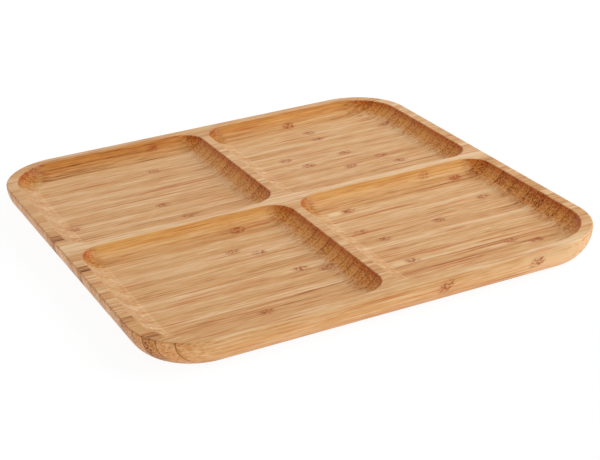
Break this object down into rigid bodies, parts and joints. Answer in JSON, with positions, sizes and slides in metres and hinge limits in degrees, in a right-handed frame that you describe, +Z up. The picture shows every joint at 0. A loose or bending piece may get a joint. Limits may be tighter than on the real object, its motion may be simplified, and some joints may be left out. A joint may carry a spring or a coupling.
{
  "type": "divided compartment plate",
  "caption": "Square laminated bamboo serving plate with rounded corners, a bullnose underside and equal cove-walled wells divided by thin ribs.",
  "frame": {"origin": "centre of the flat underside, on the surface that the plate rests on", "axes": "+X along the grain and the strips, +Y across the strips towards the back edge, +Z up out of the wells"},
  "size_m": [0.25, 0.25, 0.015],
  "materials": {
    "bamboo_straw": "oiled satin bamboo",
    "bamboo_amber": "oiled satin bamboo",
    "bamboo_honey": "oiled satin bamboo",
    "bamboo_brown": "oiled satin bamboo"
  },
  "bodies": {
    "root": {"front_strip_18": "bamboo_straw", "front_strip_17": "bamboo_brown", "front_strip_16": "bamboo_honey", "front_strip_15": "bamboo_honey", "front_strip_14": "bamboo_brown", "front_strip_13": "bamboo_straw", "front_strip_12": "bamboo_amber", "front_strip_11": "bamboo_honey", "front_strip_10": "bamboo_straw", "front_strip_09": "bamboo_brown", "front_strip_08": "bamboo_honey", "front_strip_07": "bamboo_amber", "front_strip_06": "bamboo_straw", "front_strip_05": "bamboo_straw", "front_strip_04": "bamboo_amber", "front_strip_03": "bamboo_honey", "front_strip_02": "bamboo_brown", "front_strip_01": "bamboo_straw", "middle_strip": "bamboo_honey", "back_strip_01": "bamboo_amber", "back_strip_02": "bamboo_straw", "back_strip_03": "bamboo_brown", "back_strip_04": "bamboo_honey", "back_strip_05": "bamboo_honey", "back_strip_06": "bamboo_brown", "back_strip_07": "bamboo_straw", "back_strip_08": "bamboo_amber", "back_strip_09": "bamboo_honey", "back_strip_10": "bamboo_straw", "back_strip_11": "bamboo_brown", "back_strip_12": "bamboo_honey", "back_strip_13": "bamboo_amber", "back_strip_14": "bamboo_straw", "back_strip_15": "bamboo_straw", "back_strip_16": "bamboo_amber", "back_strip_17": "bamboo_honey", "back_strip_18": "bamboo_brown"}
  },
  "joints": []
}
